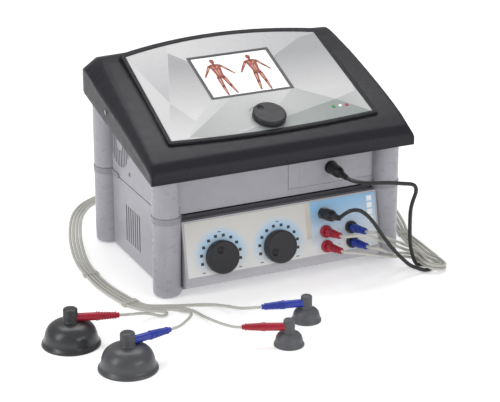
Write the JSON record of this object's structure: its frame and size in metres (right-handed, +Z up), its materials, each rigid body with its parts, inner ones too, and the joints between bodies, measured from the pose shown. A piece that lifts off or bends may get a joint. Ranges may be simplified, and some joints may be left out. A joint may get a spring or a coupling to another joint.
{
  "type": "physiotherapy suction and electrotherapy unit",
  "caption": "Two-unit therapy stack: control unit with sloped screen and jog dial on a suction unit with two dials, link cable, hoses and suction cup electrodes.",
  "frame": {"origin": "on the floor, midway between the four corner columns of the stacked units", "axes": "+X to the user's right, +Y to the back of the units, +Z up"},
  "size_m": [0.6481, 0.627, 0.2907],
  "materials": {
    "casing": "satin silver-grey",
    "columns": "satin silver-grey",
    "lid": "fine-textured charcoal",
    "faceplate": "printed film, satin gloss",
    "display": "lit colour display under glass",
    "lights": "clear light pipes",
    "board": "green solder mask",
    "electronics": "mixed components",
    "black_plastic": "moulded, fine texture",
    "steel": "zinc plated",
    "overlay": "printed film, satin",
    "feet": "matte",
    "knob": "soft matte",
    "socket_ring": "nickel plated",
    "red_plastic": "satin gloss",
    "dark_plastic": "satin gloss",
    "blue_plastic": "satin gloss",
    "pump_metal": "cast, grey",
    "cable": "matte black sheath",
    "hose": "warm light grey, satin",
    "cup_rubber": "soft, dark grey",
    "electrode": "dull metal"
  },
  "bodies": {
    "root": {"control_case": "casing", "control_front_panel": "casing", "option_cover": "casing", "control_rear_panel": "casing", "upper_columns": "columns", "lid_base": "lid", "lid": "lid", "lid_bezel": "lid", "faceplate": "faceplate", "display_module": "display", "display_board": "board", "jog_encoder": "electronics", "indicator_lights": "lights", "power_supply": "electronics", "control_board": "board", "fan_housing": "black_plastic", "control_socket": "black_plastic", "mains_inlet": "black_plastic", "case_screws": "steel", "vacuum_case": "casing", "vacuum_cover": "casing", "vacuum_rear_panel": "casing", "vacuum_front": "columns", "front_overlay": "overlay", "lower_columns": "columns", "stacking_collars": "columns", "rubber_feet": "feet", "left_potentiometer": "electronics", "right_potentiometer": "electronics", "link_socket": "socket_ring", "red_sockets": "red_plastic", "blue_sockets": "dark_plastic", "vacuum_board": "board", "pump_body": "pump_metal", "valve_body": "pump_metal", "link_cable": "cable", "link_plugs": "black_plastic", "hose_rear_small": "hose", "hose_front_small": "hose", "hose_front_large": "hose", "hose_left_large": "hose", "red_plugs": "red_plastic", "blue_plugs": "blue_plastic", "hose_clips": "hose"},
    "jog_spindle": {"jog_spindle": "steel"},
    "jog_dial": {"jog_dial": "knob"},
    "left_knob": {"left_knob": "knob"},
    "right_knob": {"right_knob": "knob"},
    "fan_rotor": {"fan_rotor": "black_plastic"},
    "mains_rocker": {"mains_rocker": "black_plastic"},
    "pump_armature": {"pump_armature": "steel"},
    "valve_plunger": {"valve_plunger": "steel"},
    "front_large_cup": {"front_large_cup": "cup_rubber", "front_large_electrode": "electrode"},
    "left_large_cup": {"left_large_cup": "cup_rubber", "left_large_electrode": "electrode"},
    "front_small_cup": {"front_small_cup": "cup_rubber", "front_small_electrode": "electrode"},
    "rear_small_cup": {"rear_small_cup": "cup_rubber", "rear_small_electrode": "electrode"}
  },
  "joints": [
    {"name": "jog_press", "type": "slide", "parent": "root", "child": "jog_spindle", "axis": [0, 0.3567, -0.9342], "range_m": [0, 0.0008], "stiffness_N_per_m": 2500},
    {"name": "jog_turn", "type": "hinge", "parent": "jog_spindle", "child": "jog_dial", "pos_m": [0, -0.07902, 0.22], "axis": [0, -0.3567, 0.9342], "continuous": true},
    {"name": "left_knob_turn", "type": "hinge", "parent": "root", "child": "left_knob", "pos_m": [-0.094, -0.12804, 0.0508], "axis": [0, 0.9781, -0.2079], "range_deg": [-105, 147]},
    {"name": "right_knob_turn", "type": "hinge", "parent": "root", "child": "right_knob", "pos_m": [-0.0075, -0.12804, 0.0508], "axis": [0, 0.9781, -0.2079], "range_deg": [-9, 243]},
    {"name": "mains_rocker_tilt", "type": "hinge", "parent": "root", "child": "mains_rocker", "pos_m": [0.1, 0.104, 0.166], "axis": [1, 0, 0], "range_deg": [0, 10]},
    {"name": "fan_spin", "type": "hinge", "parent": "root", "child": "fan_rotor", "pos_m": [-0.15, 0.06, 0.163], "axis": [1, 0, 0], "continuous": true},
    {"name": "pump_armature_slide", "type": "slide", "parent": "root", "child": "pump_armature", "axis": [1, 0, 0], "range_m": [-0.0015, 0.0015], "stiffness_N_per_m": 6000},
    {"name": "valve_plunger_slide", "type": "slide", "parent": "root", "child": "valve_plunger", "axis": [0, 0, -1], "range_m": [0, 0.002], "stiffness_N_per_m": 1500},
    {"name": "front_large_cup_pull", "type": "slide", "parent": "root", "child": "front_large_cup", "axis": [-0.9866, -0.1633, 0], "range_m": [0, 0.03]},
    {"name": "left_large_cup_pull", "type": "slide", "parent": "root", "child": "left_large_cup", "axis": [-0.9511, 0.309, 0], "range_m": [0, 0.03]},
    {"name": "front_small_cup_pull", "type": "slide", "parent": "root", "child": "front_small_cup", "axis": [0.9171, -0.3987, 0], "range_m": [0, 0.03]},
    {"name": "rear_small_cup_pull", "type": "slide", "parent": "root", "child": "rear_small_cup", "axis": [0.9799, -0.1994, 0], "range_m": [0, 0.03]}
  ]
}
